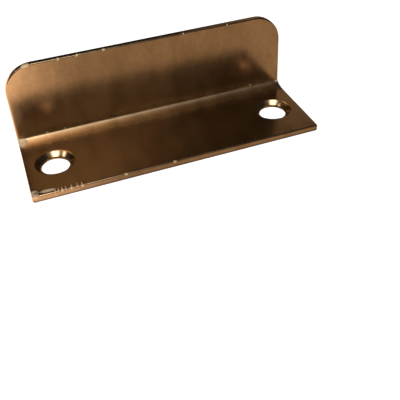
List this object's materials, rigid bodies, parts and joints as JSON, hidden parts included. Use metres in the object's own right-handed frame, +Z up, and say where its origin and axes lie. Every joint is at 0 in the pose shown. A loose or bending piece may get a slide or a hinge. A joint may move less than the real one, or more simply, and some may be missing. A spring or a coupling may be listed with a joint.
{
  "type": "angle door strike plate",
  "caption": "Folded sheet-metal angle strike plate: a screw-down foot and an upright flange with rounded corners that a latch bolt closes against.",
  "frame": {"origin": "midway between the screw holes, on the foot's underside", "axes": "+X along the plate, -Y from the upright towards the foot's front edge, +Z up out of the mounting surface"},
  "size_m": [0.06, 0.0207, 0.0187],
  "materials": {
    "bronzed_plate": "satin bronze plating, worn bright along edges and corners"
  },
  "bodies": {
    "root": {"strike_plate": "bronzed_plate"}
  },
  "joints": []
}
